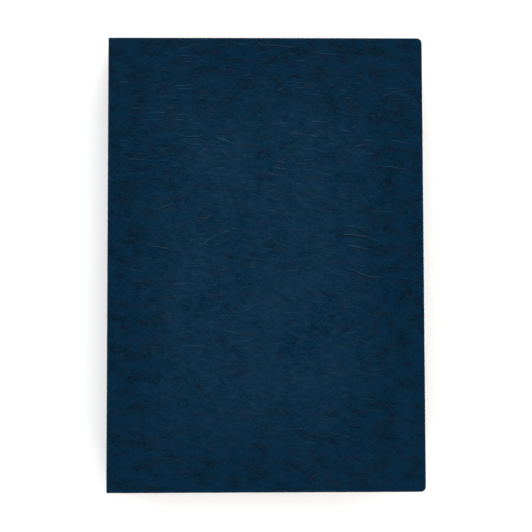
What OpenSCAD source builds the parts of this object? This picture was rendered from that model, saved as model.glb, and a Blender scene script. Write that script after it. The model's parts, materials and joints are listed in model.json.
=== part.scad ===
// Pilot logbook: a case-bound hardback of ruled flight record pages, lying closed on its back cover.
// The spine is on the -X side, the fore edge on +X, the head of the page on +Y and the front cover on top.
// The origin is on the resting surface, under the middle of the book.

/* [Case] */
// Width of the closed case, from the spine to the fore edge
case_w = 146; // [110:1:230]
// Height of the case, from the tail to the head
case_h = 210; // [150:1:300]
// Thickness of the covering leatherette
skin_t = 0.7; // [0.5:0.05:1]
// Thickness of each greyboard
board_t = 1.5; // [1:0.1:3]
// Radius of the two corners at the fore edge
corner_r = 2.4; // [1:0.1:6]
// Length of the covering that is turned in over the boards' edges
turn_in = 15; // [8:1:25]
// Thickness of the covering where it is pressed down inside the case
turn_t = 0.4; // [0.2:0.05:0.5]

/* [Pages] */
// Number of sewn sections
section_count = 10; // [6:1:16]
// Leaves in each section
section_leaves = 12; // [8:2:16]
// Thickness of one leaf, with the air that lies between leaves
leaf_t = 0.115; // [0.09:0.005:0.15]
// How far the case stands out past the leaves at the head, tail and fore edge
square = 3.2; // [2:0.1:6]
// Thickness of the endpapers
endpaper_t = 0.15; // [0.1:0.01:0.25]
// Air between the free endpaper and the pasted one when the book is closed
body_gap = 0.05; // [0.03:0.01:0.2]

/* [Spine] */
// Thickness of the card strip that stiffens the spine
strip_t = 1.2; // [0.8:0.1:2]
// Room behind the strip, where the spine hollow opens
hollow_t = 0.5; // [0.5:0.1:1.5]
// Thickness of the kraft lining
kraft_t = 0.3; // [0.1:0.05:0.4]
// Thickness of the mull, the gauze that is glued over the sewing
mull_t = 0.3; // [0.1:0.05:0.4]
// Diameter of the sewing thread
thread_d = 0.3; // [0.2:0.05:0.6]
// Number of sewing stations along the spine
station_count = 8; // [4:2:12]
// Distance from the leaves' head and tail to the first sewing station
station_inset = 14; // [8:1:30]
// Width of the mull that is glued to each board
flange_w = 22; // [12:1:30]
// Distance from the leaves' head and tail to the ends of the mull
mull_inset = 17; // [15:1:40]
// Distance from the leaves' head and tail to the ends of the kraft lining
kraft_inset = 6; // [2:1:20]
// Height of the headband's bead above the leaves
band_h = 1.5; // [1:0.1:1.9]
// Depth of the headband's bead over the ends of the leaves
band_over = 0.8; // [0.4:0.1:1.5]

/* [Joints] */
// Room between a turning cover and the piece that it turns past
turn_clearance = 0.3; // [0.2:0.05:0.6]
// Room between the pieces that lie side by side under a pastedown
lay_clearance = 0.3; // [0.1:0.05:1]

/* [Hidden] */
section_t = section_leaves * leaf_t;
cover_t = skin_t + board_t + turn_t + endpaper_t;
block_t = section_count * section_t;
case_t = 2 * (cover_t + body_gap + endpaper_t) + block_t;

case_left = -case_w / 2;
case_right = case_w / 2;
half_h = case_h / 2;
// The covers turn about the inner faces of the boards, just inside the spine covering
hinge_x = case_left + skin_t;
front_in_z = case_t - cover_t;
fold_t = cover_t + turn_clearance;

strip_x = hinge_x + turn_clearance;
hollow_x = strip_x + strip_t;
kraft_x = hollow_x + hollow_t;
mull_x = kraft_x + kraft_t;
thread_x = mull_x + mull_t;
leaf_x = thread_x + thread_d;
leaf_right = case_right - square;
leaf_w = leaf_right - leaf_x;
leaf_half = half_h - square;
block_z = cover_t + body_gap + endpaper_t;
// The spine's inner pieces stop just short of the covers, so that nothing rubs on them
spine_low = cover_t + turn_clearance;
spine_high = front_in_z - turn_clearance;
spine_inner_h = spine_high - spine_low;
// The card strip is narrower than the spine, which leaves the covering free to flex at both joints
strip_low = cover_t + fold_t;
strip_high = front_in_z - fold_t;
flange_right = strip_x + flange_w;
mull_half = leaf_half - mull_inset;
kraft_half = leaf_half - kraft_inset;

leather = [0.055, 0.172, 0.259];
leather_fold = [0.045, 0.15, 0.23];
greyboard = [0.55, 0.53, 0.49];
card = [0.66, 0.63, 0.56];
kraft = [0.62, 0.47, 0.32];
gauze = [0.88, 0.87, 0.82];
endpaper = [0.93, 0.92, 0.87];
page = [0.95, 0.95, 0.91];
thread = [0.9, 0.89, 0.84];
band = [0.2, 0.33, 0.46];

$fn = 48;
// How far a cut runs past the face that it opens
past = 1;

function two_digits(i) = str(i < 10 ? "0" : "", i);
function section_name(i) = str("section_", two_digits(i));
function station_y(i) =
    let (run = 2 * (leaf_half - station_inset))
    -run / 2 + i * run / (station_count - 1);

// A plate outline with a straight edge at x0 and two round corners at x1
module fore_outline(x0, x1, half, r) {
    translate([x0, -half]) square([x1 - r - x0, 2 * half]);
    translate([x0, -half + r]) square([x1 - x0, 2 * (half - r)]);
    for (side = [-1, 1]) translate([x1 - r, side * (half - r)]) circle(r);
}

module plate(x0, x1, half, z, t) {
    translate([x0, -half, z]) cube([x1 - x0, 2 * half, t]);
}

// The cover's pieces are drawn for the back cover, from the table up, and mirrored for the front
module as_front() {
    translate([0, 0, case_t]) mirror([0, 0, 1]) children();
}

// Covering of one board: the outer face, its three wrapped edges and the turned-in margins
module cover_skin() {
    wrap_h = skin_t + board_t + turn_t;
    linear_extrude(skin_t) fore_outline(hinge_x, case_right, half_h, corner_r);
    linear_extrude(wrap_h) difference() {
        fore_outline(hinge_x, case_right, half_h, corner_r);
        fore_outline(hinge_x - past, case_right - skin_t, half_h - skin_t, corner_r - skin_t);
    }
    translate([0, 0, skin_t + board_t]) linear_extrude(turn_t) difference() {
        fore_outline(hinge_x, case_right - skin_t / 2, half_h - skin_t / 2, corner_r - skin_t / 2);
        translate([hinge_x - past, -(half_h - turn_in)])
            square([case_right - turn_in - hinge_x + past, 2 * (half_h - turn_in)]);
    }
}

module cover_board() {
    translate([0, 0, skin_t]) linear_extrude(board_t)
        fore_outline(strip_x, case_right - skin_t, half_h - skin_t, corner_r - skin_t);
}

module cover_infill() {
    plate(flange_right + lay_clearance, case_right - turn_in - lay_clearance,
          half_h - turn_in - lay_clearance, skin_t + board_t, turn_t);
}

module mull_flange() {
    plate(strip_x, flange_right, mull_half, skin_t + board_t, mull_t);
}

module pastedown() {
    plate(strip_x, leaf_right, leaf_half, cover_t - endpaper_t, endpaper_t);
}

// The strip of covering that bends when the cover opens, round the long edge of the spine
module joint_fold() {
    fold_h = cover_t + fold_t;
    rotate([90, 0, 0]) translate([0, 0, -half_h]) linear_extrude(case_h) {
        translate([case_left + skin_t, 0]) intersection() {
            translate([-skin_t, 0]) square([skin_t, fold_h]);
            union() {
                translate([0, skin_t]) circle(skin_t);
                translate([-skin_t, skin_t]) square([skin_t, fold_h - skin_t]);
            }
        }
    }
}

// The stretch of the endpaper that crosses the joint, from the board to the edge of the leaves
module hinge_paper() {
    plate(strip_x, leaf_x, leaf_half, cover_t + body_gap, endpaper_t);
}

module flyleaf() {
    plate(leaf_x, leaf_right, leaf_half, cover_t + body_gap, endpaper_t);
}

module front_cover_skin() { color(leather) as_front() cover_skin(); }
module front_board() { color(greyboard) as_front() cover_board(); }
module front_infill() { color(card) as_front() cover_infill(); }
module front_mull_flange() { color(gauze) as_front() mull_flange(); }
module front_pastedown() { color(endpaper) as_front() pastedown(); }
module front_joint_fold() { color(leather_fold) as_front() joint_fold(); }
module front_hinge_paper() { color(endpaper) as_front() hinge_paper(); }
module front_flyleaf() { color(endpaper) as_front() flyleaf(); }

module back_cover_skin() { color(leather) cover_skin(); }
module back_board() { color(greyboard) cover_board(); }
module back_infill() { color(card) cover_infill(); }
module back_mull_flange() { color(gauze) mull_flange(); }
module back_pastedown() { color(endpaper) pastedown(); }
module back_joint_fold() { color(leather_fold) joint_fold(); }
module back_hinge_paper() { color(endpaper) hinge_paper(); }
module back_flyleaf() { color(endpaper) flyleaf(); }

// Spine covering, wrapped over the head and tail of the card strip and turned in behind it
module spine_skin() {
    skin_h = strip_high - strip_low;
    color(leather) {
        translate([case_left, -half_h, strip_low]) cube([skin_t, case_h, skin_h]);
        for (side = [0, 1]) mirror([0, side, 0]) {
            translate([hinge_x, half_h - skin_t, strip_low])
                cube([hollow_x + turn_t - hinge_x, skin_t, skin_h]);
            translate([hollow_x, half_h - turn_in, strip_low])
                cube([turn_t, turn_in, skin_h]);
        }
    }
}

module spine_strip() {
    color(card) translate([strip_x, -(half_h - skin_t), strip_low])
        cube([strip_t, 2 * (half_h - skin_t), strip_high - strip_low]);
}

module kraft_lining() {
    color(kraft) translate([kraft_x, -kraft_half, spine_low])
        cube([kraft_t, 2 * kraft_half, spine_inner_h]);
}

module mull_lining() {
    color(gauze) translate([mull_x, -mull_half, spine_low])
        cube([mull_t, 2 * mull_half, spine_inner_h]);
}

// Thread that links the folds of all the sections, at each sewing station
module sewing_thread() {
    color(thread) for (i = [0 : station_count - 1])
        translate([leaf_x - thread_d / 2, station_y(i), spine_low])
            cylinder(h = spine_inner_h, d = thread_d, $fn = 24);
}

// Sewn bead that stands on the end of the leaves at the spine, with its tape glued down the spine
module end_band(side) {
    color(band) {
        translate([mull_x, side > 0 ? leaf_half : -leaf_half - band_h, spine_low])
            cube([leaf_x + band_over - mull_x, band_h, spine_inner_h]);
        translate([mull_x, side > 0 ? kraft_half + lay_clearance : -leaf_half, spine_low])
            cube([mull_t, kraft_inset - lay_clearance, spine_inner_h]);
    }
}

module head_band() { end_band(1); }
module tail_band() { end_band(-1); }

// One sewn section: folded sheets with a round fold at the spine
module section(i) {
    fold_r = section_t / 2;
    z = block_z + (section_count - i) * section_t;
    color(page) translate([0, leaf_half, z]) rotate([90, 0, 0]) linear_extrude(2 * leaf_half) {
        translate([leaf_x + fold_r, fold_r]) circle(fold_r);
        translate([leaf_x + fold_r, 0]) square([leaf_w - fold_r, section_t]);
    }
}

front_cover_skin();
front_board();
front_infill();
front_mull_flange();
front_pastedown();
front_joint_fold();
front_hinge_paper();
front_flyleaf();
spine_skin();
spine_strip();
kraft_lining();
mull_lining();
sewing_thread();
head_band();
tail_band();
for (i = [1 : section_count]) section(i);
back_flyleaf();
back_hinge_paper();
back_joint_fold();
back_pastedown();
back_mull_flange();
back_infill();
back_board();
back_cover_skin();
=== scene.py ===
import json
import math
import bmesh
import bpy
import numpy as np
from mathutils import Matrix, Vector, noise


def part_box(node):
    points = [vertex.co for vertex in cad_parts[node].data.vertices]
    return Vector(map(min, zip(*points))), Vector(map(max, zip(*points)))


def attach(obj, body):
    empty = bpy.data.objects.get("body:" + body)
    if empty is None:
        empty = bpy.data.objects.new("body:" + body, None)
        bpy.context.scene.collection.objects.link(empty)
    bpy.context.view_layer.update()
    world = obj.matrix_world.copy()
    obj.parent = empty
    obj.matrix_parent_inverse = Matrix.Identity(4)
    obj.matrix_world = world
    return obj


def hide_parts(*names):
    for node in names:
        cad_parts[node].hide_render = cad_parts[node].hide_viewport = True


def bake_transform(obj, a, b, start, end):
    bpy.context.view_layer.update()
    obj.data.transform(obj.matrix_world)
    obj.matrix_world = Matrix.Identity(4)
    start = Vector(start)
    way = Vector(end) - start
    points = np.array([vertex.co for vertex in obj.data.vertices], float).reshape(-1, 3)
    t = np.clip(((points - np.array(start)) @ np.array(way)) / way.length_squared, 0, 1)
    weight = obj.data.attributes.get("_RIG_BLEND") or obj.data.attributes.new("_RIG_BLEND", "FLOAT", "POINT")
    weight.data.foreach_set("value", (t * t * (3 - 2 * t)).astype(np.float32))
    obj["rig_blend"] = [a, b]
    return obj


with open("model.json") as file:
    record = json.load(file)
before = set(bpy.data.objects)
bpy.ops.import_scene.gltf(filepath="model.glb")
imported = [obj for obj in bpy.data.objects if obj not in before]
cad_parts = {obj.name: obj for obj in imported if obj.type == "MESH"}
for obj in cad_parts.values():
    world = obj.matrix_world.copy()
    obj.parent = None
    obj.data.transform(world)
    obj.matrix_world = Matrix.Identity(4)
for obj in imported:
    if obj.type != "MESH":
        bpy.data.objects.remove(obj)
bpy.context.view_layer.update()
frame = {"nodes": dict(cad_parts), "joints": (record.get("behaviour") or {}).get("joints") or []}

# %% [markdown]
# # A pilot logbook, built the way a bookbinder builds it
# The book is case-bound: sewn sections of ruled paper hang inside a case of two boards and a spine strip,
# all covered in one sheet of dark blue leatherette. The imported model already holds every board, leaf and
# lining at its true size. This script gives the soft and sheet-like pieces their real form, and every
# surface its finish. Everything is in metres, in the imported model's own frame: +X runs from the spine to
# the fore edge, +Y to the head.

MM = 0.001
JOINTS = {joint["name"]: joint for joint in frame["joints"]}

FORE_X, HALF_H, CASE_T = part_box("front_cover_skin")[1]
SPINE_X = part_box("spine_skin")[0].x
LEAF_X = JOINTS["first_section_turn"]["pos_m"][0]
WRAP_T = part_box("front_cover_skin")[1].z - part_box("front_cover_skin")[0].z
print("case", [round(size / MM, 2) for size in (FORE_X - SPINE_X, 2 * HALF_H, CASE_T)], "mm")
print("board in its wrap", round(WRAP_T / MM, 2), "mm")

# %% [markdown]
# ## The camera
# The book is seen from nearly straight above, at arm's length. A short distance gives the slight spread
# towards the tail that a real lens gives, and the small tilts are those of a camera that is held by hand
# over a table.

# %% Camera
CAMERA_DISTANCE = 0.6
CAMERA_TILT_DEG = (3.46, -1.06, -0.13)
CAMERA_AIM = Vector((0.05, -1.49, 0)) * MM
LENS_MM = 88.18
SENSOR_MM = 36

camera = bpy.data.objects.new("camera", bpy.data.cameras.new("camera"))
bpy.context.scene.collection.objects.link(camera)
camera.data.lens = LENS_MM
camera.data.sensor_width = SENSOR_MM
camera.rotation_euler = [math.radians(angle) for angle in CAMERA_TILT_DEG]
camera.location = (CAMERA_AIM + Vector((0, 0, CASE_T))
                   + camera.rotation_euler.to_matrix() @ Vector((0, 0, CAMERA_DISTANCE)))
bpy.context.scene.camera = camera
print("camera at", [round(value, 4) for value in camera.location])

# %% [markdown]
# ## The light and the floor
# A dark satin cover shows every light that it mirrors, so nothing bright stands straight above the book.
# Four long soft boxes stand low around it instead: they light the floor evenly and graze the grain, which
# makes it readable.

# %% Floor and lights
FLOOR_SIZE = 3.2
FLOOR_Z = -0.02 * MM
LIGHT_RING = 1.35
LIGHT_HEIGHT = 0.8
LIGHT_SIZE = (1.4, 0.5)
LIGHT_POWER = {"head": 21, "fore": 17, "tail": 18, "spine": 17}
LIGHT_SIDE = {"head": (0, 1), "fore": (1, 0), "tail": (0, -1), "spine": (-1, 0)}
WORLD_LEVEL = 0.15


def linear(hex_colour):
    """An sRGB hex colour as linear values, which is what a shader's sockets hold."""
    parts = [int(hex_colour[i:i + 2], 16) / 255 for i in (1, 3, 5)]
    return [part / 12.92 if part <= 0.04045 else ((part + 0.055) / 1.055) ** 2.4 for part in parts] + [1.0]


def add_node(tree, kind, inputs=None, **settings):
    """Adds a node, sets its properties, and then sets or links its inputs by name or number."""
    new = tree.nodes.new(kind)
    for name, value in settings.items():
        setattr(new, name, value)
    for key, value in (inputs or {}).items():
        socket = new.inputs[key]
        if isinstance(value, bpy.types.NodeSocket):
            tree.links.new(value, socket)
        else:
            socket.default_value = value
    return new


def new_material(name, **shader):
    """A material with one Principled shader, whose even values are set on its own sockets."""
    material = bpy.data.materials.new(name)
    material.use_nodes = True
    tree = material.node_tree
    principled = tree.nodes["Principled BSDF"]
    for key, value in shader.items():
        principled.inputs[key.replace("_", " ")].default_value = value
    return material, tree, principled


def mesh_object(name, vertices, faces, materials=()):
    """A named object at the origin, with its place in its mesh."""
    mesh = bpy.data.meshes.new(name)
    mesh.from_pydata([tuple(vertex) for vertex in vertices], [], faces)
    mesh.update()
    for material in materials:
        mesh.materials.append(material)
    made = bpy.data.objects.new(name, mesh)
    bpy.context.scene.collection.objects.link(made)
    return made


paper_sweep, _, sweep_shader = new_material("white_paper_sweep", Roughness=0.9)
sweep_shader.inputs["Base Color"].default_value = linear("#F6F6F6")
half = FLOOR_SIZE / 2
floor_corners = [(x * half, y * half, FLOOR_Z) for x, y in ((-1, -1), (1, -1), (1, 1), (-1, 1))]
floor = mesh_object("floor", floor_corners, [(0, 1, 2, 3)], [paper_sweep])

world = bpy.data.worlds.new("studio")
bpy.context.scene.world = world
world.use_nodes = True
world.node_tree.nodes["Background"].inputs["Color"].default_value = (1, 1, 1, 1)
ray = add_node(world.node_tree, "ShaderNodeLightPath").outputs["Is Camera Ray"]
level = add_node(world.node_tree, "ShaderNodeMath", {0: ray, 1: 1 - WORLD_LEVEL, 2: WORLD_LEVEL},
                 operation="MULTIPLY_ADD").outputs[0]
world.node_tree.links.new(level, world.node_tree.nodes["Background"].inputs["Strength"])

for side, (x, y) in LIGHT_SIDE.items():
    lamp = bpy.data.objects.new("light_" + side, bpy.data.lights.new("light_" + side, "AREA"))
    lamp.data.shape = "RECTANGLE"
    lamp.data.size, lamp.data.size_y = LIGHT_SIZE
    lamp.data.energy = LIGHT_POWER[side]
    lamp.location = (x * LIGHT_RING, y * LIGHT_RING, LIGHT_HEIGHT)
    lamp.rotation_euler = (-lamp.location).to_track_quat("-Z", "Y").to_euler()
    bpy.context.scene.collection.objects.link(lamp)
bpy.context.scene.view_settings.view_transform = "Standard"
print("lights", LIGHT_POWER)

# %% [markdown]
# ## Leatherette: the finish
# The cover is a bonded "pull-up" leatherette: a thin polyurethane film on a fibre backing, embossed with a
# fine hair grain, waxed and a little uneven. Where the film has been bent it goes lighter, so the fine
# creases that run across the head of the cover are light lines, whitened film with a painted highlight, with
# painted shade on their underside. The middle carries a painted sheen, a soft reflection painted as a lighter
# cloud over the leatherette's own mottle. The pattern reads the piece's own UV map, which holds metres along
# the sheet, so it runs on round the spine and stays put as the cover turns. The colour varies by five noises,
# with features from half a millimetre to thirty, and the bump comes from the hair grain, the fibres and the
# creases.

# %% Leatherette material
GRAIN_MM = 0.9
FIBRE_MM = 0.55
FIBRE_STRETCH = 2.6
STAIN_MM = 5.0
CLOUD_MM = 30.0
HAZE_MM = 2.4
DUSK_MM = 3.6
WANDER_MM = 3.0
CREASE_PITCH_MM = 6.0
CREASE_STRETCH = 4.5
CREASE_SLOPE_DEG = -9.0
CREASE_W_MM = 0.42
HAIR_PITCH_MM = 2.6
HAIR_SHARE = 0.55
WANDER_PER_M = 60.0
COVER_MIDDLE_U = 80 * MM
HEAD_RISE = (-50 * MM, 50 * MM)
HEAD_RIM = (103 * MM, 85 * MM)
SIDE_RIM = (75 * MM, 40 * MM)
# The middle of the cover, where the painted sheen is strongest and the fibres show most.
MIDDLE_ZONE_ACROSS = (66 * MM, 25 * MM)
MIDDLE_ZONE_ALONG = (100 * MM, 50 * MM)
GRAIN_DEPTH = 0.10 * MM
FIBRE_DEPTH = 0.08 * MM
CREASE_BUMP = 0.14 * MM
SLOPE_STEP = 0.1
LEATHER_DARK = "#02101D"
LEATHER_TEAL = "#011D32"
LEATHER_FIBRE = "#04283C"
LEATHER_DUSK = "#111627"
# Painted sheen: the lighter tone of a soft reflection on the middle of the cover, laid over the mottle.
LEATHER_MOTTLE_AND_SHEEN = "#122A3D"
# Light crease line: the film's whitening where it was bent, with a painted highlight on the fold.
LEATHER_CREASE_WHITENING_AND_HIGHLIGHT = "#3A5A6B"
# Painted shade on the underside of each crease.
LEATHER_SHADOW = "#080B17"


def scaled(tree, source, size, stretch=1.0, turn=0.0):
    """Coordinates where one unit is one feature, turned and stretched along its first axis."""
    return add_node(tree, "ShaderNodeMapping", {
        "Vector": source,
        "Rotation": (0, 0, math.radians(turn)),
        "Scale": (stretch * size, size, size),
    }, vector_type="TEXTURE").outputs[0]


def noise_value(tree, vector, detail=2.0, roughness=0.5, distortion=0.0):
    """Perlin noise from 0 to 1, one feature to a unit of its coordinates."""
    return add_node(tree, "ShaderNodeTexNoise", {
        "Vector": vector, "Scale": 1.0, "Detail": detail, "Roughness": roughness, "Distortion": distortion,
    }).outputs["Fac"]


def remap(tree, value, low, high, new_low=0.0, new_high=1.0):
    """Stretches a value's range, and clamps it."""
    return add_node(tree, "ShaderNodeMapRange", {
        "Value": value, "From Min": low, "From Max": high, "To Min": new_low, "To Max": new_high,
    }, interpolation_type="SMOOTHSTEP").outputs[0]


def math_node(tree, operation, *values):
    """One arithmetic step between values or sockets."""
    return add_node(tree, "ShaderNodeMath", dict(enumerate(values)), operation=operation).outputs[0]


def times(tree, first, second):
    """The product of two values or sockets."""
    return math_node(tree, "MULTIPLY", first, second)


def minus(tree, first, second):
    """The difference of two values or sockets."""
    return math_node(tree, "SUBTRACT", first, second)


def vector_node(tree, operation, first, second):
    """One arithmetic step between vectors or sockets."""
    return add_node(tree, "ShaderNodeVectorMath", {0: first, 1: second}, operation=operation).outputs[0]


def sheet_place(tree):
    """The piece's own UV map, in metres along the sheet."""
    return add_node(tree, "ShaderNodeUVMap", uv_map="sheet").outputs[0]


def mixed(tree, factor, first, second):
    """One colour step between colours or sockets."""
    return add_node(tree, "ShaderNodeMix", {0: factor, 6: first, 7: second}, data_type="RGBA").outputs[2]


def paint(tree, shader, colour):
    """Puts a colour on a shader."""
    tree.links.new(colour, shader.inputs["Base Color"])


def bumped(tree, height, distance, strength=1.0, normal=None):
    """A normal tipped by a height, whose full range is distance metres deep."""
    inputs = {"Height": height, "Distance": distance, "Strength": strength}
    if normal is not None:
        inputs["Normal"] = normal
    return add_node(tree, "ShaderNodeBump", inputs).outputs[0]


def leatherette_material():
    """Dark blue waxed leatherette, with its hair grain, its creases with painted highlights and painted
    shade, and its mottle under a painted sheen.
    """
    material, tree, shader = new_material(
        "waxed_leatherette", Roughness=0.5, IOR=1.45, Specular_IOR_Level=0.03)
    uv = sheet_place(tree)
    place = add_node(tree, "ShaderNodeSeparateXYZ", {0: uv})
    across, along = place.outputs[0], place.outputs[1]

    wander = add_node(tree, "ShaderNodeTexNoise", {"Vector": uv, "Scale": WANDER_PER_M, "Detail": 2.0})
    warp = vector_node(tree, "SUBTRACT", wander.outputs["Color"], (0.5, 0.5, 0.5))
    warp = add_node(tree, "ShaderNodeVectorMath", {0: warp, "Scale": WANDER_MM * MM},
                    operation="SCALE").outputs[0]
    waved = vector_node(tree, "ADD", uv, warp)

    def crease_set(pitch, turn, low, high):
        """Short thin folds, each a light line (whitened film with a painted highlight) over a painted shade
        line, from one stretched noise.

        The noise's level and its slope across the fold give the distance to its contour, so every line
        has the same width. Where the slope is small the contour would close into a ring: the line fades.
        """
        at = scaled(tree, waved, pitch * MM, CREASE_STRETCH, turn)
        ahead = vector_node(tree, "ADD", at, (0, SLOPE_STEP, 0))
        level = noise_value(tree, at, detail=1.0)
        slope = minus(tree, noise_value(tree, ahead, detail=1.0), level)
        distance = math_node(tree, "DIVIDE", minus(tree, level, 0.5), slope)
        width = CREASE_W_MM / (pitch * SLOPE_STEP)
        broken = noise_value(tree, scaled(tree, uv, pitch * 1.5 * MM, 1.6, turn), detail=2.0)
        steep = remap(tree, math_node(tree, "ABSOLUTE", slope), 0.03, 0.07)
        here = times(tree, steep, remap(tree, broken, low, high))
        lines = []
        # The first line is the light crease line, whitened film with a painted highlight; the second is
        # painted shade on the fold's other side.
        for centre in (width * 0.5, -width * 0.7):
            off = math_node(tree, "ABSOLUTE", minus(tree, distance, centre))
            lines.append(times(tree, remap(tree, off, width * 0.7, 0.0), here))
        return lines

    falling = crease_set(CREASE_PITCH_MM, CREASE_SLOPE_DEG, 0.49, 0.64)
    rising = crease_set(CREASE_PITCH_MM * 1.3, -1.6 * CREASE_SLOPE_DEG, 0.54, 0.7)
    hairs = crease_set(HAIR_PITCH_MM, CREASE_SLOPE_DEG / 3, 0.46, 0.66)
    head_zone = times(tree, remap(tree, along, *HEAD_RISE), remap(tree, along, *HEAD_RIM, 0.3, 1.0))
    head_zone = math_node(tree, "MULTIPLY_ADD", head_zone, 0.7, 0.3)
    from_spine = math_node(tree, "ABSOLUTE", across)
    off_middle = math_node(tree, "ABSOLUTE", minus(tree, from_spine, COVER_MIDDLE_U))
    head_zone = times(tree, head_zone, remap(tree, off_middle, *SIDE_RIM, 0.25, 1.0))
    merged = []
    for large, other, hair in zip(falling, rising, hairs):
        lines = math_node(tree, "MAXIMUM", large, other)
        lines = math_node(tree, "MAXIMUM", lines, times(tree, hair, HAIR_SHARE))
        merged.append(times(tree, lines, head_zone))
    # The light crease lines (whitened film with a painted highlight, and also the crease bump), and the
    # painted shade beside them.
    crease_ridges_and_highlights, shadows = merged

    cloud = noise_value(tree, scaled(tree, waved, CLOUD_MM * MM), detail=3.0, roughness=0.6)
    cloud = remap(tree, cloud, 0.3, 0.7)
    stain = noise_value(tree, scaled(tree, waved, STAIN_MM * MM, 1.6, CREASE_SLOPE_DEG), detail=3.0)
    stain = remap(tree, stain, 0.3, 0.68)
    fibre = noise_value(tree, scaled(tree, waved, FIBRE_MM * MM, FIBRE_STRETCH), roughness=0.6)
    fibre = remap(tree, fibre, 0.34, 0.68)
    from_mid_height = math_node(tree, "ABSOLUTE", along)
    middle = times(tree, remap(tree, off_middle, *MIDDLE_ZONE_ACROSS), remap(tree, from_mid_height, *MIDDLE_ZONE_ALONG))
    haze = noise_value(tree, scaled(tree, waved, HAZE_MM * MM, 2.2, CREASE_SLOPE_DEG), detail=3.0,
                       roughness=0.6)
    haze = remap(tree, haze, 0.4, 0.72)
    lifted = math_node(tree, "ADD", times(tree, cloud, 0.5), times(tree, haze, 0.65))
    # Painted sheen: the cloudy mottle, lightened most on the middle of the cover, where a soft reflection
    # lies.
    mottle_and_painted_sheen = times(tree, lifted, math_node(tree, "MULTIPLY_ADD", middle, 0.8, 0.2))
    liveliness = math_node(tree, "MULTIPLY_ADD", middle, 0.4, 0.5)

    base = mixed(tree, stain, linear(LEATHER_DARK), linear(LEATHER_TEAL))
    base = mixed(tree, times(tree, fibre, liveliness), base, linear(LEATHER_FIBRE))
    dusk = noise_value(tree, scaled(tree, waved, DUSK_MM * MM, 1.8, -CREASE_SLOPE_DEG), detail=4.0,
                       roughness=0.7)
    base = mixed(tree, remap(tree, dusk, 0.5, 0.75, 0.0, 0.6), base, linear(LEATHER_DUSK))
    # Painted sheen over the middle of the cover.
    base = mixed(tree, times(tree, mottle_and_painted_sheen, 0.8), base, linear(LEATHER_MOTTLE_AND_SHEEN))
    # Painted shade under each crease, then the light crease lines: whitened film with a painted highlight.
    base = mixed(tree, times(tree, shadows, 0.85), base, linear(LEATHER_SHADOW))
    base = mixed(tree, times(tree, crease_ridges_and_highlights, 0.5), base, linear(LEATHER_CREASE_WHITENING_AND_HIGHLIGHT))
    paint(tree, shader, base)

    grain_at = scaled(tree, waved, GRAIN_MM * MM, 1.4)
    grain = add_node(tree, "ShaderNodeTexVoronoi", {"Vector": grain_at, "Scale": 1.0, "Randomness": 1.0},
                     feature="SMOOTH_F1").outputs["Distance"]
    normal = bumped(tree, grain, GRAIN_DEPTH, 0.5)
    normal = bumped(tree, fibre, FIBRE_DEPTH, 0.5, normal)
    normal = bumped(tree, crease_ridges_and_highlights, CREASE_BUMP, 0.8, normal)
    tree.links.new(normal, shader.inputs["Normal"])

    gloss = minus(tree, 0.5, times(tree, mottle_and_painted_sheen, 0.06))
    tree.links.new(math_node(tree, "ADD", gloss, times(tree, fibre, 0.08)),
                   shader.inputs["Roughness"])
    return material


LEATHERETTE = leatherette_material()
print("leatherette", len(LEATHERETTE.node_tree.nodes), "nodes")

# %% [markdown]
# ## Leatherette: the sheet
# On the real book one sheet wraps the boards, the joints and the spine, and its margins are turned in. It
# could be modelled as a rounded box, but then nothing would bend at the joint and the grain would break at
# every edge. Here each stretch is laid out flat first, as the binder cuts it: u runs round the spine and
# across the cover, v runs from tail to head. A function bends the flat sheet round the case, and the two
# flat lengths become its UV map. The rim is one profile, the sheet's way over the board's edge and back
# along its inside, carried round the outline.

# %% Flat layout of the covering
JOINT_R = 1.2 * MM
CORNER_R = 2.4 * MM
RIM = 3.0 * MM
EDGE_R = 0.85 * MM
TURN_IN = 14.2 * MM
LINER_T = 0.55 * MM
TURNED_T = 0.36 * MM
PASTE_GAP = 0.02 * MM
JOINT_FOLD_T = 1.1 * MM
COLUMN_STEP = 1.0 * MM
ROW_STEP = 0.6 * MM
ARC_STEPS = 5
WELD_DIST = 0.002 * MM
SHARP_DEG = 40
STRIP_LOW, STRIP_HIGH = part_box("spine_strip")[0].z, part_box("spine_strip")[1].z

SPINE_RUN = CASE_T / 2 - JOINT_R
ARC_RUN = JOINT_R * math.pi / 2
U_FORE = SPINE_RUN + ARC_RUN + (FORE_X - SPINE_X) - JOINT_R


def case_point(u, v, depth):
    """The place of a flat point, u from the middle of the spine and over the front cover, depth inside it."""
    if u < SPINE_RUN:
        return SPINE_X + depth, v, CASE_T / 2 + u
    turned = (u - SPINE_RUN) / JOINT_R
    if turned < math.pi / 2:
        reach = JOINT_R - depth
        return (SPINE_X + JOINT_R - reach * math.cos(turned), v, CASE_T - JOINT_R + reach * math.sin(turned))
    return SPINE_X + JOINT_R + (u - SPINE_RUN - ARC_RUN), v, CASE_T - depth


def steps(low, high, step):
    """Evenly spaced values from low to high, about a step apart."""
    count = max(1, round((high - low) / step))
    return [low + (high - low) * i / count for i in range(count + 1)]


def rim_profile(thick, inward):
    """Offset from the inset line, depth below the outer face and run so far, round the edge."""
    radius = min(EDGE_R, thick / 2)
    arc = [math.pi / 2 * i / ARC_STEPS for i in range(ARC_STEPS + 1)]
    edge = RIM - radius
    points = [(edge * i / 3, 0.0, edge * i / 3) for i in range(1, 3)]
    run = edge
    points += [(edge + radius * math.sin(a), radius - radius * math.cos(a), run + radius * a) for a in arc]
    run += radius * math.pi / 2 + max(0, thick - 2 * radius)
    points += [(edge + radius * math.cos(a), thick - radius + radius * math.sin(a), run + radius * a)
               for a in arc]
    run += radius * math.pi / 2
    points += [(edge - inward * i / 4, thick, run + inward * i / 4) for i in range(1, 5)]
    return points


print("flat width of the covering", round(2 * (U_FORE + TURN_IN) / MM, 1), "mm")

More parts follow.
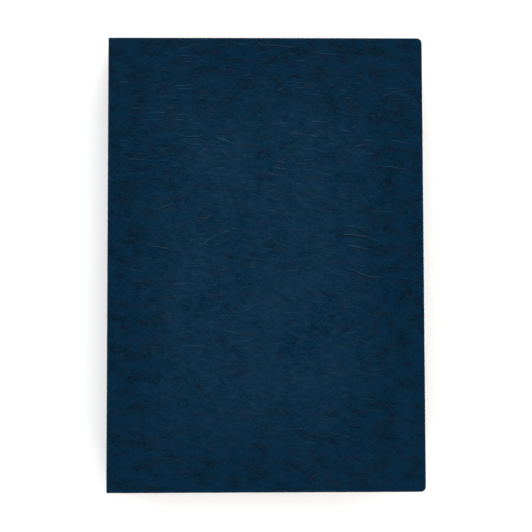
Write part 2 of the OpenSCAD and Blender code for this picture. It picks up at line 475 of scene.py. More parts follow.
# %% [markdown]
# The sheet isn't dead flat. The paper and glue under it leave shallow waves, the board's edge shows through
# near the joint, and the creases stand up a little, so these are real shapes in the mesh and only the grain
# is bump. On the back cover nothing stands proud, because the book's own weight presses it flat on the
# table.

# %% Relief of the covering
WAVE_DEPTH = 0.05 * MM
CREASE_DEPTH = 0.045 * MM
JOINT_DIP = 0.16 * MM
JOINT_DIP_AT = 2.3 * MM
JOINT_DIP_WIDTH = 1.3 * MM
BROAD_WAVE_MM = 28
FINE_WAVE_MM = 9
BEND_MM = 16
FOLD_LENGTH_MM = 17
FOLD_PITCH_MM = 3.0
FOLD_SLOPE = 0.09
PATCH_MM = 24


def relief(u, v, side):
    """How far the sheet stands off its even place, for a flat point on the front (1) or the back (-1)."""
    here = Vector((u * side, v, 0)) / MM
    wave = noise.noise(here / BROAD_WAVE_MM) * 0.7
    wave += noise.noise(here / FINE_WAVE_MM + Vector((7, 3, 1))) * 0.3
    warp = noise.noise(here / BEND_MM + Vector((3, 9, 2))) * 4
    crease_at = Vector((here.x / FOLD_LENGTH_MM, (here.y + FOLD_SLOPE * here.x + warp) / FOLD_PITCH_MM, 4))
    sharp = max(0.0, 1 - abs(noise.noise(crease_at)) * 6)
    head = min(1.0, max(0.0, (v / MM + 10) / 70))
    patch = min(1.0, max(0.0, noise.noise(here / PATCH_MM + Vector((1, 5, 8))) * 2.2 + 0.45))
    dip = math.exp(-(((u - SPINE_RUN - ARC_RUN + JOINT_R - JOINT_DIP_AT) / JOINT_DIP_WIDTH) ** 2))
    lift = wave * WAVE_DEPTH + sharp * patch * (0.25 + 0.75 * head) * CREASE_DEPTH - dip * JOINT_DIP
    return lift if side > 0 else min(lift, 0.0)


# %% [markdown]
# The outline's path runs along the tail, round the first corner, up the fore edge, round the second corner
# and back along the head. At a corner the path fans out, and on the inside the turned-in margins meet in a
# mitre.

# %% Sheet builder
FAN = 8


def soften(piece):
    """Smooth shading over the broad faces, with crisp edges where the sheet is cut."""
    for polygon in piece.data.polygons:
        polygon.use_smooth = True
    piece.data.set_sharp_from_angle(angle=math.radians(SHARP_DEG))


def outline_path(columns, rows, fore):
    """Stations of the rim: (u, v, outward u, outward v, which straight or corner it belongs to)."""
    inset_u, inset_v = columns[-1], rows[-1]
    path = [(u, -inset_v, 0, -1, "end") for u in columns]
    if fore:
        fan = [math.pi / 2 * i / FAN for i in range(FAN + 1)]
        path += [(inset_u, -inset_v, math.sin(a), -math.cos(a), "corner") for a in fan]
        path += [(inset_u, v, 1, 0, "fore") for v in rows]
        path += [(inset_u, inset_v, math.cos(a), math.sin(a), "corner") for a in fan]
        path += [(u, inset_v, 0, 1, "end") for u in reversed(columns)]
    return path


def rim_place(station, reach, inset_u, inset_v):
    """The flat place of a point that is reach outside the inset line, at one station of the rim."""
    u, v, out_u, out_v, kind = station
    if kind == "corner":
        sign = 1 if v > 0 else -1
        square_part = min(reach, RIM - CORNER_R)
        round_part = max(0.0, reach - (RIM - CORNER_R))
        return u + square_part + round_part * out_u, v + sign * square_part + round_part * out_v
    if kind == "fore":
        limit = inset_v + min(0.0, reach)
        return u + reach, max(-limit, min(limit, v))
    return min(u, inset_u + min(0.0, reach)) if inset_u is not None else u, v + out_v * reach


def leather_sheet(name, u_start, u_end, side, fore, thickness_at):
    """One closed sheet of leatherette: its outer face with relief, its rim, and a plain inner face."""
    inset_v = HALF_H - RIM
    columns = steps(u_start, u_end - (RIM if fore else 0), COLUMN_STEP)
    rows = steps(-inset_v, inset_v, ROW_STEP)
    inset_u = columns[-1]
    vertices, flat, faces = [], [], []

    def put(u, v, depth, flat_u, flat_v, raised):
        lift = relief(flat_u, flat_v, side) if raised else 0.0
        x, y, z = case_point(u, v, depth)
        x2, y2, z2 = case_point(u, v, depth - 0.01 * MM)
        outward = Vector((x2 - x, y2 - y, z2 - z)).normalized()
        spot = Vector((x, y, z)) + outward * lift
        if side < 0:
            spot.z = CASE_T - spot.z
        vertices.append(spot)
        flat.append((flat_u * side, flat_v))
        return len(vertices) - 1

    def face(*corners):
        unique = list(dict.fromkeys(corners))
        if len(unique) > 2:
            faces.append(unique if side > 0 else unique[::-1])

    outer = [[put(u, v, 0, u, v, True) for v in rows] for u in columns]
    for i in range(len(columns) - 1):
        for j in range(len(rows) - 1):
            face(outer[i][j], outer[i + 1][j], outer[i + 1][j + 1], outer[i][j + 1])

    inner_end = {}
    for i, u in enumerate(columns):
        for v in (rows[0], rows[-1]):
            inner_end[(i, v > 0)] = put(u, v, LINER_T, u, v, False)
    inner_fore = [put(inset_u, v, LINER_T, inset_u, v, False) for v in rows] if fore else None
    last = len(columns) - 1
    if fore:
        inner_fore[0], inner_fore[-1] = inner_end[(last, False)], inner_end[(last, True)]
    for i in range(last):
        a, b = inner_end[(i, False)], inner_end[(i, True)]
        c, d = inner_end[(i + 1, True)], inner_end[(i + 1, False)]
        if fore and i == last - 1:
            face(a, b, *reversed(inner_fore))
        else:
            face(a, b, c, d)

    def edge_index(station):
        """The outer and inner vertex on the inset line that a station of the rim starts from."""
        u, v, _, _, kind = station
        i = last if kind != "end" else columns.index(u)
        j = rows.index(v)
        inner = inner_fore[j] if (fore and i == last) else inner_end[(i, v > 0)]
        return outer[i][j], inner

    paths = [outline_path(columns, rows, fore)]
    if not fore:
        paths.append([(u, rows[-1], 0, 1, "end") for u in reversed(columns)])
    limit_u = inset_u if fore else None
    for path in paths:
        strips = []
        for station in path:
            thick = thickness_at(station[0])
            profile = rim_profile(thick, TURN_IN)
            start_outer, start_inner = edge_index(station)
            outer_run, inner_run = [start_outer], [start_inner]
            count = len(profile)
            for k, (reach, depth, run) in enumerate(profile):
                before = profile[k - 1] if k else (0.0, 0.0)
                after = profile[min(k + 1, count - 1)]
                tangent = Vector((after[0] - before[0], after[1] - before[1])).normalized()
                at = rim_place(station, reach, limit_u, inset_v)
                flat_at = rim_place(station, run, None, inset_v)
                if station[4] == "fore":
                    flat_at = (station[0] + run, station[1])
                outer_run.append(put(at[0], at[1], depth, flat_at[0], flat_at[1], depth < thick * 0.5))
                wall = min(LINER_T if depth < thick * 0.5 else TURNED_T, thick * 0.45)
                in_reach = reach - tangent.y * wall
                in_depth = depth + tangent.x * wall
                at = rim_place(station, in_reach, limit_u, inset_v)
                inner_run.append(put(at[0], at[1], in_depth, flat_at[0], flat_at[1], False))
            strips.append((outer_run, inner_run))
        for (out_a, in_a), (out_b, in_b) in zip(strips, strips[1:]):
            for k in range(len(out_a) - 1):
                face(out_a[k], out_a[k + 1], out_b[k + 1], out_b[k])
                face(in_a[k], in_b[k], in_b[k + 1], in_a[k + 1])
            face(out_a[-1], in_a[-1], in_b[-1], out_b[-1])
        for (out_run, in_run), flip in ((strips[0], True), (strips[-1], False)):
            for k in range(len(out_run) - 1):
                quad = (out_run[k], in_run[k], in_run[k + 1], out_run[k + 1])
                face(*(reversed(quad) if flip else quad))
    face(*[outer[0][j] for j in range(len(rows))], inner_end[(0, True)], inner_end[(0, False)])
    if not fore:
        face(inner_end[(last, False)], inner_end[(last, True)],
             *[outer[last][j] for j in reversed(range(len(rows)))])

    made = mesh_object(name, vertices, faces, [LEATHERETTE])
    layer = made.data.uv_layers.new(name="sheet")
    loop_vertex = np.empty(len(made.data.loops), np.int32)
    made.data.loops.foreach_get("vertex_index", loop_vertex)
    layer.data.foreach_set("uv", np.array(flat, np.float32)[loop_vertex].ravel())
    shape = bmesh.new()
    shape.from_mesh(made.data)
    bmesh.ops.remove_doubles(shape, verts=shape.verts, dist=WELD_DIST)
    bmesh.ops.recalc_face_normals(shape, faces=shape.faces)
    open_edges = sum(1 for edge in shape.edges if len(edge.link_faces) != 2)
    shape.to_mesh(made.data)
    shape.free()
    soften(made)
    print(name, len(made.data.polygons), "faces,", open_edges, "open edges")
    return made


# %% Front, back and spine coverings
U_STRIP = STRIP_HIGH - CASE_T / 2
U_BOARD = SPINE_RUN + ARC_RUN
BLEND_START = (SPINE_X, 0, STRIP_HIGH)
BLEND_RUN = 3.98 * MM
JOINT_EDGE = 0.5 * MM


def cover_thickness(u):
    """Doubled leatherette over the free joint, and the whole board past it."""
    return WRAP_T - PASTE_GAP if u > U_BOARD + JOINT_EDGE else JOINT_FOLD_T


front_leather = leather_sheet("front_leather", U_STRIP, U_FORE, 1, True, cover_thickness)
back_leather = leather_sheet("back_leather", U_STRIP, U_FORE, -1, True, cover_thickness)
spine_leather = leather_sheet("spine_leather", -U_STRIP, U_STRIP, 1, False, lambda u: WRAP_T)

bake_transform(front_leather, "text_block", "front_cover", start=BLEND_START,
         end=(BLEND_START[0] + BLEND_RUN, 0, BLEND_START[2] + BLEND_RUN))
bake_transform(back_leather, "text_block", "back_cover", start=(SPINE_X, 0, STRIP_LOW),
         end=(SPINE_X + BLEND_RUN, 0, STRIP_LOW - BLEND_RUN))
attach(spine_leather, "text_block")
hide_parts("front_cover_skin", "front_joint_fold")
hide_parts("back_cover_skin", "back_joint_fold")
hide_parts("spine_skin")

# %% [markdown]
# ## The paper finishes
# Log pages are smooth writing paper, printed with a ruled table: a tinted heading, thin rows, columns for
# each kind of entry, and tinted rows for the totals. Left and right pages carry different columns, so the
# pages' UV map, in metres from the spine and from the middle of the page, is moved one metre along for a
# left page, and further for a cut edge. There the leaves show as fine lines, the darker ones painted shade in
# the gaps between leaves, drawn about three times as coarse as the paper so that they read. Each rule is a
# comparison of a coordinate with its place, so it stays sharp at any size and needs no image.

# %% Log paper material
PAGE_TOP_MARGIN = 9 * MM
PAGE_TAIL_MARGIN = 9 * MM
GUTTER_MARGIN = 14 * MM
FORE_MARGIN = 6 * MM
HEADING_H = 17 * MM
ROW_H = 7.2 * MM
TOTAL_ROWS = 3
RULE_W = 0.3 * MM
HEAVY_RULE_W = 0.6 * MM
LEFT_COLUMNS_MM = (14, 30, 48, 62, 76, 88)
RIGHT_COLUMNS_MM = (12, 24, 36, 48, 60, 72, 84)
PAGE_SHIFT, EDGE_SHIFT = 1.0, 2.5
EDGE_LINE_MM = 0.35
EDGE_LINE_STRETCH = 90
PULP = 1.6 * MM
PULP_DEPTH = 0.03 * MM

LEAF_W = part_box("section_01")[1].x - LEAF_X
LEAF_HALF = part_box("section_01")[1].y


def any_of(tree, values):
    """The largest of several masks."""
    joined = values[0]
    for value in values[1:]:
        joined = math_node(tree, "MAXIMUM", joined, value)
    return joined


def between(tree, value, low, high):
    """One where a value lies between two others."""
    return math_node(tree, "COMPARE", value, (low + high) / 2, (high - low) / 2)


def paper_look(tree, shader, coordinates, light, dark):
    """Pulp paper: a soft mottle of short fibres, and a slightly uneven surface."""
    pulp = noise_value(tree, scaled(tree, coordinates, PULP, 2.0), detail=4.0, roughness=0.7)
    colour = mixed(tree, remap(tree, pulp, 0.3, 0.7), linear(dark), linear(light))
    tree.links.new(bumped(tree, pulp, PULP_DEPTH, 0.35), shader.inputs["Normal"])
    return colour


def log_paper_material():
    """Smooth writing paper with the ruled log table on both sides of each leaf."""
    material, tree, shader = new_material("ruled_log_paper", Roughness=0.85, IOR=1.45, Specular_IOR_Level=0.3)
    uv = sheet_place(tree)
    place = add_node(tree, "ShaderNodeSeparateXYZ", {0: uv})
    u, v = place.outputs[0], place.outputs[1]
    is_left = between(tree, u, PAGE_SHIFT - 0.5, PAGE_SHIFT + 0.5)
    is_edge = math_node(tree, "GREATER_THAN", u, EDGE_SHIFT - 0.5)
    across = minus(tree, u, times(tree, is_left, PAGE_SHIFT))

    x_low, x_high = GUTTER_MARGIN, LEAF_W - FORE_MARGIN
    y_high, y_low = LEAF_HALF - PAGE_TOP_MARGIN, -LEAF_HALF + PAGE_TAIL_MARGIN
    inside_x = between(tree, across, x_low, x_high)
    table_top = y_high - HEADING_H
    rows = int((table_top - y_low) / ROW_H)
    table_low = table_top - rows * ROW_H
    in_table = times(tree, inside_x, between(tree, v, table_low, y_high))
    from_top = math_node(tree, "DIVIDE", minus(tree, table_top, v), ROW_H)
    to_rule = math_node(tree, "PINGPONG", from_top, 0.5)
    on_rule = math_node(tree, "LESS_THAN", to_rule, RULE_W / ROW_H / 2)
    row_rules = times(tree, on_rule, between(tree, v, table_low, table_top))

    def column_rules(places_mm, mask):
        found = [between(tree, across, x_low + at * MM - RULE_W / 2, x_low + at * MM + RULE_W / 2)
                 for at in places_mm]
        return times(tree, any_of(tree, found), mask)

    is_right = minus(tree, 1.0, is_left)
    columns = any_of(tree, [column_rules(LEFT_COLUMNS_MM, is_left), column_rules(RIGHT_COLUMNS_MM, is_right)])
    total_top = table_low + TOTAL_ROWS * ROW_H
    heavy = any_of(tree, [between(tree, v, y - HEAVY_RULE_W / 2, y + HEAVY_RULE_W / 2)
                          for y in (table_low, total_top, table_top, y_high)])
    sides = any_of(tree, [between(tree, across, x - HEAVY_RULE_W / 2, x + HEAVY_RULE_W / 2)
                          for x in (x_low, x_high)])
    rules = times(tree, any_of(tree, [row_rules, columns, heavy, sides]), in_table)
    tinted = [between(tree, v, table_top, y_high), between(tree, v, table_low, total_top)]
    tint = times(tree, in_table, any_of(tree, tinted))

    base = paper_look(tree, shader, uv, "#DEDBCD", "#D6D2C2")
    base = mixed(tree, times(tree, tint, 0.85), base, linear("#AEC3CE"))
    base = mixed(tree, times(tree, rules, 0.8), base, linear("#3D6079"))
    # Cut edges: fine lines of the leaves, the darker ones painted shade in the gaps between leaves.
    leaf_edges = noise_value(tree, scaled(tree, uv, EDGE_LINE_MM * MM, EDGE_LINE_STRETCH), detail=2.0)
    leaf_edges_and_gap_shade = mixed(tree, remap(tree, leaf_edges, 0.36, 0.62), linear("#A89F88"), linear("#DDD7C6"))
    base = mixed(tree, is_edge, base, leaf_edges_and_gap_shade)
    paint(tree, shader, base)
    print("log table:", rows, "rows, of which", TOTAL_ROWS, "are totals")
    return material


LOG_PAPER = log_paper_material()

# %% [markdown]
# The endpapers are a heavier, creamier stock with a laid texture: fine parallel wire lines from the mould.
# The glued ones and the back flyleaf never bend, so their pattern reads Object coordinates. The free leaf
# bends at the gutter, so its pattern reads its own UV map, which bends with it.

# %% Endpaper, card, board and lining materials
LAID_PITCH = 1.1 * MM
FLECK = 0.8 * MM
KRAFT_RIB_PITCH = 0.9 * MM
MULL_PITCH = 1.2 * MM
TWIST_PITCH = 0.35 * MM
TWIST_TURN = 0.6
COTTON_FIBRE = 0.2 * MM
HEADBAND_PITCH = 0.42 * MM
HEADBAND_STRIPE = 4 * HEADBAND_PITCH
THREAD_R = HEADBAND_PITCH * 0.56


def object_place(tree):
    """Coordinates in metres on the piece itself."""
    return add_node(tree, "ShaderNodeTexCoord").outputs["Object"]


def wave_lines(tree, coordinates, pitch, axis):
    """Even lines across one axis, from 0 between them to 1 on them."""
    parts = add_node(tree, "ShaderNodeSeparateXYZ", {0: coordinates}).outputs
    turn = times(tree, parts[axis], 2 * math.pi / pitch)
    return math_node(tree, "MULTIPLY_ADD", math_node(tree, "SINE", turn), 0.5, 0.5)


def endpaper_material(name, bends):
    """Heavy cream laid paper, read from the UV map on a leaf that bends."""
    material, tree, shader = new_material(name, Roughness=0.9, IOR=1.45, Specular_IOR_Level=0.25)
    place = sheet_place(tree) if bends else object_place(tree)
    base = paper_look(tree, shader, place, "#DAD3BF", "#CFC7B1")
    laid = wave_lines(tree, place, LAID_PITCH, 1)
    base = mixed(tree, times(tree, laid, 0.18), base, linear("#BBB298"))
    paint(tree, shader, base)
    return material


def greyboard_material():
    """Pulp board pressed from waste paper: grey, with dark and light flecks."""
    material, tree, shader = new_material("pressed_greyboard", Roughness=0.95)
    place = object_place(tree)
    base = paper_look(tree, shader, place, "#A39E93", "#857F75")
    fleck = remap(tree, noise_value(tree, scaled(tree, place, FLECK), detail=1.0), 0.62, 0.7)
    paint(tree, shader, mixed(tree, fleck, base, linear("#5F6468")))
    return material


def card_material():
    """Smooth manila card."""
    material, tree, shader = new_material("manila_card", Roughness=0.85)
    paint(tree, shader, paper_look(tree, shader, object_place(tree), "#BDB397", "#AA9F83"))
    return material


def kraft_material():
    """Ribbed brown kraft paper."""
    material, tree, shader = new_material("ribbed_kraft", Roughness=0.8)
    place = object_place(tree)
    base = paper_look(tree, shader, place, "#A47C52", "#8C6740")
    ribs = wave_lines(tree, place, KRAFT_RIB_PITCH, 1)
    paint(tree, shader, mixed(tree, times(tree, ribs, 0.3), base, linear("#6F5133")))
    tree.links.new(bumped(tree, ribs, 0.05 * MM, 0.6), shader.inputs["Normal"])
    return material


def woven_material(name, light, dark, pitch, axes):
    """Plain-woven cotton: two sets of threads that cross over and under."""
    material, tree, shader = new_material(name, Roughness=0.9, Sheen_Weight=0.2)
    place = object_place(tree)
    weft, warp = (wave_lines(tree, place, pitch, axis) for axis in axes)
    weave = math_node(tree, "MAXIMUM", weft, warp)
    paint(tree, shader, mixed(tree, weave, linear(dark), linear(light)))
    tree.links.new(bumped(tree, weave, 0.08 * MM, 0.7), shader.inputs["Normal"])
    return material


def thread_material():
    """Waxed linen thread, whose two plies show as a twist."""
    material, tree, shader = new_material("waxed_linen_thread", Roughness=0.6, Sheen_Weight=0.15)
    place = add_node(tree, "ShaderNodeMapping", {
        "Vector": object_place(tree), "Rotation": (TWIST_TURN, 0, 0)}).outputs[0]
    ply = wave_lines(tree, place, TWIST_PITCH, 2)
    paint(tree, shader, mixed(tree, ply, linear("#B9AD92"), linear("#E6DEC8")))
    tree.links.new(bumped(tree, ply, 0.05 * MM, 0.8), shader.inputs["Normal"])
    return material


def headband_material():
    """Cotton wound round a core in two colours, a few turns of each."""
    material, tree, shader = new_material("striped_headband_cotton", Roughness=0.75, Sheen_Weight=0.3)
    place = object_place(tree)
    stripe = math_node(tree, "GREATER_THAN", wave_lines(tree, place, HEADBAND_STRIPE, 2), 0.5)
    base = mixed(tree, stripe, linear("#E9E3D2"), linear("#1E3F5C"))
    ply = noise_value(tree, scaled(tree, place, COTTON_FIBRE, 3.0), detail=1.0)
    paint(tree, shader, mixed(tree, times(tree, ply, 0.25), base, linear("#8C8C86")))
    tree.links.new(bumped(tree, ply, 0.04 * MM, 0.6), shader.inputs["Normal"])
    return material


ENDPAPER = endpaper_material("laid_endpaper", False)
LEAF_PAPER = endpaper_material("laid_endpaper_leaf", True)
NODE_FINISH = {
    "front_board": greyboard_material(),
    "front_infill": card_material(),
    "kraft_lining": kraft_material(),
    "mull_lining": woven_material("sized_mull_gauze", "#E4DFCE", "#9C947C", MULL_PITCH, (1, 2)),
    "front_mull_flange": woven_material("glued_mull_gauze", "#E4DFCE", "#9C947C", MULL_PITCH, (0, 1)),
    "sewing_thread": thread_material(),
    "front_pastedown": ENDPAPER,
}
SAME_FINISH = {
    "back_board": "front_board", "back_infill": "front_infill", "spine_strip": "front_infill",
    "back_mull_flange": "front_mull_flange", "back_pastedown": "front_pastedown",
    "front_hinge_paper": "front_pastedown", "back_hinge_paper": "front_pastedown",
    "back_flyleaf": "front_pastedown",
}
NODE_FINISH.update({node: NODE_FINISH[like] for node, like in SAME_FINISH.items()})
for node, material in NODE_FINISH.items():
    node_mesh = frame["nodes"][node].data
    node_mesh.materials.clear()
    node_mesh.materials.append(material)
print("finishes on", len(NODE_FINISH), "packed pieces")

# %% [markdown]
# ## The sections
# A section is a few sheets folded together, one inside the other, so its fold is round at the spine. One
# Geometry Nodes tree makes any section: it takes a flat grid, copies it once for each sheet, bends each
# copy round the fold at its own radius, and gives it the paper's thickness. The fore edges are trimmed
# level, but each leaf gets a seeded offset of up to 0.12 mm, because paper never lines up dead true.

# %% Geometry Nodes tree for a folded section
LEAVES = 12
SHEETS = LEAVES // 2
SECTION_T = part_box("section_01")[1].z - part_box("section_01")[0].z
LEAF_PITCH = SECTION_T / LEAVES
PAPER_T = LEAF_PITCH * 0.82
EDGE_JITTER = 0.12 * MM
FOLD_SHARE = 0.12
PROFILE_POINTS = 97
HEIGHT_POINTS = 9
GUTTER_CROWDING = 2.5


def open_tree(name, sizes, material, counts=()):
    """A Geometry Nodes tree with named inputs and one geometry output."""
    tree = bpy.data.node_groups.new(name, "GeometryNodeTree")
    for kind, pairs in (("NodeSocketFloat", sizes), ("NodeSocketInt", counts)):
        for label, value in pairs:
            tree.interface.new_socket(label, in_out="INPUT", socket_type=kind).default_value = value
    tree.interface.new_socket(material, in_out="INPUT", socket_type="NodeSocketMaterial")
    tree.interface.new_socket("Geometry", in_out="OUTPUT", socket_type="NodeSocketGeometry")
    return tree, tree.nodes.new("NodeGroupInput").outputs


def close_tree(tree, geometry, material):
    """Gives the geometry its material, and ends the tree."""
    done = add_node(tree, "GeometryNodeSetMaterial", {"Geometry": geometry, "Material": material}).outputs[0]
    tree.links.new(done, tree.nodes.new("NodeGroupOutput").inputs[0])


def section_tree():
    """Nested folded sheets: leaf width, half height and pitch are named inputs."""
    sizes = [("Leaf width", LEAF_W), ("Half height", LEAF_HALF), ("Leaf pitch", LEAF_PITCH),
             ("Paper thickness", PAPER_T), ("Edge jitter", EDGE_JITTER)]
    tree, given = open_tree("folded_section", sizes, "Paper", [("Sheets", SHEETS), ("Seed", 1)])

    def calc(operation, *values):
        return math_node(tree, operation, *values)

    def named(name):
        return add_node(tree, "GeometryNodeInputNamedAttribute", {"Name": name}, data_type="FLOAT").outputs[0]

    def store(geometry, name, value):
        return add_node(tree, "GeometryNodeStoreNamedAttribute", {
            "Geometry": geometry, "Name": name, "Value": value}, data_type="FLOAT", domain="POINT").outputs[0]

    grid = add_node(tree, "GeometryNodeMeshGrid", {
        "Size X": 2.0, "Size Y": 2.0, "Vertices X": PROFILE_POINTS, "Vertices Y": HEIGHT_POINTS}).outputs[0]
    position = tree.nodes.new("GeometryNodeInputPosition").outputs[0]
    parts = add_node(tree, "ShaderNodeSeparateXYZ", {0: position})
    grid = store(store(grid, "along", parts.outputs[0]), "up", parts.outputs[1])
    line = add_node(tree, "GeometryNodeMeshLine", {"Count": given["Sheets"], "Offset": (0, 0, 0)}).outputs[0]
    line = store(line, "sheet_number", tree.nodes.new("GeometryNodeInputIndex").outputs[0])
    copies = add_node(tree, "GeometryNodeInstanceOnPoints", {"Points": line, "Instance": grid}).outputs[0]
    sheets = tree.nodes.new("GeometryNodeRealizeInstances")
    tree.links.new(copies, sheets.inputs[0])

    along, up, sheet = named("along"), named("up"), named("sheet_number")
    folds = calc("SUBTRACT", calc("SUBTRACT", given["Sheets"], 0.5), sheet)
    radius = calc("MULTIPLY", folds, given["Leaf pitch"])
    centre = calc("MULTIPLY", given["Sheets"], given["Leaf pitch"])
    away = calc("ABSOLUTE", along)
    angle = calc("MULTIPLY", calc("MINIMUM", calc("DIVIDE", away, FOLD_SHARE), 1.0), math.pi / 2)
    leaf_share = calc("MAXIMUM", calc("DIVIDE", calc("SUBTRACT", away, FOLD_SHARE), 1 - FOLD_SHARE), 0.0)
    side = calc("SIGN", along)
    which = calc("MULTIPLY_ADD", calc("MULTIPLY", sheet, side), 3.7, given["Seed"])
    ragged = add_node(tree, "ShaderNodeTexNoise", {
        "Vector": add_node(tree, "ShaderNodeCombineXYZ", {0: which, 1: up, 2: side}).outputs[0],
        "Scale": 1.3, "Detail": 1.0}).outputs["Fac"]
    trim = calc("MULTIPLY", ragged, given["Edge jitter"])
    reach = calc("SUBTRACT", calc("SUBTRACT", given["Leaf width"], centre), trim)
    x_fold = calc("SUBTRACT", centre, calc("MULTIPLY", radius, calc("COSINE", angle)))
    x = calc("MULTIPLY_ADD", calc("POWER", leaf_share, GUTTER_CROWDING), reach, x_fold)
    z = calc("MULTIPLY_ADD", calc("MULTIPLY", radius, side), calc("SINE", angle), centre)
    y = calc("MULTIPLY", up, calc("SUBTRACT", given["Half height"], calc("MULTIPLY", trim, 0.5)))
    place = add_node(tree, "ShaderNodeCombineXYZ", {0: x, 1: y, 2: z}).outputs[0]
    bent = add_node(tree, "GeometryNodeSetPosition", {
        "Geometry": sheets.outputs[0], "Position": place}).outputs[0]

    half_t = calc("MULTIPLY", given["Paper thickness"], 0.5)
    normal = tree.nodes.new("GeometryNodeInputNormal").outputs[0]
    sunk = add_node(tree, "ShaderNodeVectorMath", {0: normal, "Scale": calc("MULTIPLY", half_t, -1.0)},
                    operation="SCALE").outputs[0]
    low = add_node(tree, "GeometryNodeSetPosition", {"Geometry": bent, "Offset": sunk}).outputs[0]
    raised = add_node(tree, "GeometryNodeExtrudeMesh", {
        "Mesh": low, "Offset Scale": given["Paper thickness"], "Individual": False}, mode="FACES").outputs[0]
    under = add_node(tree, "GeometryNodeFlipFaces", {0: low}).outputs[0]
    both = tree.nodes.new("GeometryNodeJoinGeometry")
    tree.links.new(raised, both.inputs[0])
    tree.links.new(under, both.inputs[0])
    closed = add_node(tree, "GeometryNodeMergeByDistance", {"Geometry": both.outputs[0],
                                                            "Distance": 0.001 * MM}).outputs[0]
    real = add_node(tree, "GeometryNodeRealizeInstances", {0: closed}).outputs[0]
    close_tree(tree, real, given["Paper"])
    return tree


def from_nodes(name, tree, values):
    """Runs a Geometry Nodes tree with these inputs, and returns the result as a plain mesh object."""
    carrier = mesh_object(name + "_nodes", [], [])
    modifier = carrier.modifiers.new("nodes", "NODES")
    modifier.node_group = tree
    for item in tree.interface.items_tree:
        if item.in_out == "INPUT" and item.name in values:
            modifier[item.identifier] = values[item.name]
    evaluated = carrier.evaluated_get(bpy.context.evaluated_depsgraph_get())
    mesh = bpy.data.meshes.new_from_object(evaluated)
    mesh.name = name
    bpy.data.objects.remove(carrier)
    for spare in [layer.name for layer in mesh.attributes if layer.name in ("along", "up", "sheet_number")]:
        mesh.attributes.remove(mesh.attributes[spare])
    mesh.materials.clear()
    mesh.materials.append(next(value for value in values.values() if isinstance(value, bpy.types.Material)))
    made = bpy.data.objects.new(name, mesh)
    bpy.context.scene.collection.objects.link(made)
    return made


def page_uv(piece):
    """UV in metres from the spine and the middle of a page, or along a cut edge and up the thickness."""
    mesh = piece.data
    layer = mesh.uv_layers.new(name="sheet")
    for polygon in mesh.polygons:
        at_end = abs(polygon.normal.y) > 0.5
        at_fore = abs(polygon.normal.x) > 0.5 and polygon.center.x > LEAF_X + SECTION_T
        shift = 0.0 if polygon.normal.z > 0 else PAGE_SHIFT
        for loop in polygon.loop_indices:
            spot = mesh.vertices[mesh.loops[loop].vertex_index].co
            if at_end or at_fore:
                layer.data[loop].uv = (EDGE_SHIFT + (spot.x if at_end else spot.y), spot.z)
            else:
                layer.data[loop].uv = (spot.x - LEAF_X + shift, spot.y)


# %% Ten sections
TURNING = {"section_01": "first_section", "section_02": "second_section", "section_03": "third_section"}
GUTTER_START, GUTTER_END = 0.8 * MM, 15 * MM
folded_section = section_tree()


def bend_at_gutter(piece, body, lead=0.0):
    """The leaves stay sewn at the fold, and turn over the first stretch of the page."""
    start = LEAF_X + GUTTER_START - lead
    end = LEAF_X + GUTTER_END - lead
    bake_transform(piece, "text_block", body, start=(start, 0, 0), end=(end, 0, 0))


for number in range(1, 11):
    node = f"section_{number:02d}"
    pages = from_nodes(f"pages_{number:02d}", folded_section, {"Seed": number * 10, "Paper": LOG_PAPER})
    pages.data.transform(Matrix.Translation((LEAF_X, 0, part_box(node)[0].z)))
    page_uv(pages)
    soften(pages)
    if node in TURNING:
        bend_at_gutter(pages, TURNING[node])
    else:
        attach(pages, "text_block")
    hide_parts(node)
print("sections of", SHEETS, "sheets,", len(pages.data.polygons), "faces each")

# %% [markdown]
# The free endpaper is one leaf that turns nearly as far as the cover. It lies between the cover and the
# first section, so it bends over the same length of gutter as they do, starting a little sooner so that it
# stays on top of them.

# %% Free endpaper
FLYLEAF_STEP = 4 * MM
FLYLEAF_BEND_STEP = 0.35 * MM
FLYLEAF_LEAD = 0.4 * MM


def thin_leaf(name, low, high, material):
    """A flat leaf as a closed sheet, with columns set close together where it bends."""
    bend_end = LEAF_X + GUTTER_END
    xs = steps(low.x, high.x, FLYLEAF_STEP)
    if high.x > bend_end:
        xs = steps(low.x, bend_end, FLYLEAF_BEND_STEP) + steps(bend_end, high.x, FLYLEAF_STEP)[1:]
    ys = steps(low.y, high.y, 20 * MM)
    vertices = [(x, y, z) for z in (low.z, high.z) for x in xs for y in ys]
    rows, layer = len(ys), len(xs) * len(ys)
    faces = []
    for i in range(len(xs) - 1):
        for j in range(rows - 1):
            a = i * rows + j
            faces.append((a, a + 1, a + rows + 1, a + rows))
            faces.append((layer + a, layer + a + rows, layer + a + rows + 1, layer + a + 1))
        for a, flip in ((i * rows, False), (i * rows + rows - 1, True)):
            wall = (a, a + rows, a + rows + layer, a + layer)
            faces.append(wall[::-1] if flip else wall)
    for j in range(rows - 1):
        for a, flip in ((j, True), (layer - rows + j, False)):
            wall = (a, a + 1, a + 1 + layer, a + layer)
            faces.append(wall[::-1] if flip else wall)
    return mesh_object(name, vertices, faces, [material])


fly_low, fly_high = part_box("front_flyleaf")
free_endpaper = thin_leaf("front_free_leaf", fly_low, fly_high, LEAF_PAPER)
page_uv(free_endpaper)
soften(free_endpaper)
bend_at_gutter(free_endpaper, "front_free_endpaper", FLYLEAF_LEAD)
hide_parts("front_flyleaf")

# %% [markdown]
# ## The headbands
# A headband is a core with cotton wound round it in two colours, glued over the ends of the sections. Each
# turn of cotton is a real loop here. Geometry Nodes set one small ring at every step along the band, which
# is what the hand does when it winds the band, and a strip of tape behind it takes the glue.

# %% Geometry Nodes tree for a wound band


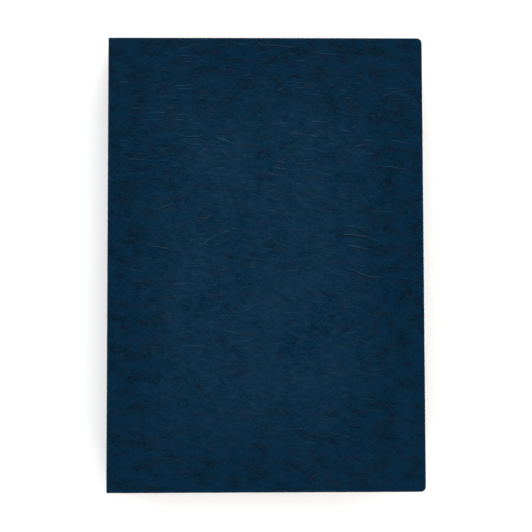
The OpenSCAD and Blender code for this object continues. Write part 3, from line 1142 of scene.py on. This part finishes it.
def wound_tree():
    """Rings of thread set side by side along the core."""
    sizes = [("Length", 10 * MM), ("Pitch", HEADBAND_PITCH), ("Radius", 0.6 * MM), ("Thread", THREAD_R)]
    tree, given = open_tree("wound_band", sizes, "Cotton")
    top = add_node(tree, "ShaderNodeCombineXYZ", {2: given["Length"]}).outputs[0]
    core = add_node(tree, "GeometryNodeCurvePrimitiveLine", {"End": top}).outputs[0]
    turns = add_node(tree, "GeometryNodeResampleCurve", {
        "Curve": core, "Length": given["Pitch"]}, mode="LENGTH")
    loop = add_node(tree, "GeometryNodeCurvePrimitiveCircle", {"Resolution": 14, "Radius": given["Radius"]})
    ply = add_node(tree, "GeometryNodeCurvePrimitiveCircle", {"Resolution": 6, "Radius": given["Thread"]})
    ring = add_node(tree, "GeometryNodeCurveToMesh", {"Curve": loop.outputs[0],
                                                      "Profile Curve": ply.outputs[0]}).outputs[0]
    wound = add_node(tree, "GeometryNodeInstanceOnPoints", {"Points": turns.outputs[0], "Instance": ring})
    real = add_node(tree, "GeometryNodeRealizeInstances", {0: wound.outputs[0]}).outputs[0]
    soft = add_node(tree, "GeometryNodeSetShadeSmooth", {"Geometry": real}).outputs[0]
    close_tree(tree, soft, given["Cotton"])
    return tree


wound_band = wound_tree()
HEADBAND = headband_material()
TAPE_T = 0.25 * MM
TAPE_H = 5.5 * MM

# %% Head band and tail band
for node, side in (("head_band", 1), ("tail_band", -1)):
    low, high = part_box(node)
    radius = (high.x - low.x) / 2 - THREAD_R
    band = from_nodes(node + "_wound", wound_band, {
        "Length": high.z - low.z - 2 * THREAD_R, "Radius": radius, "Thread": THREAD_R, "Cotton": HEADBAND})
    bead_y = (LEAF_HALF + radius + THREAD_R * 0.9) * side
    band.data.transform(Matrix.Translation(((low.x + high.x) / 2, bead_y, low.z + THREAD_R)))
    tape_ends = sorted((side * (LEAF_HALF - TAPE_H), side * (LEAF_HALF + radius)))
    tape = thin_leaf(node + "_tape", Vector((low.x, tape_ends[0], low.z)),
                     Vector((low.x + TAPE_T, tape_ends[1], high.z)), HEADBAND)
    for piece in (band, tape):
        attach(piece, "text_block")
    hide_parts(node)
print("headband of", round((high.z - low.z) / HEADBAND_PITCH), "turns")
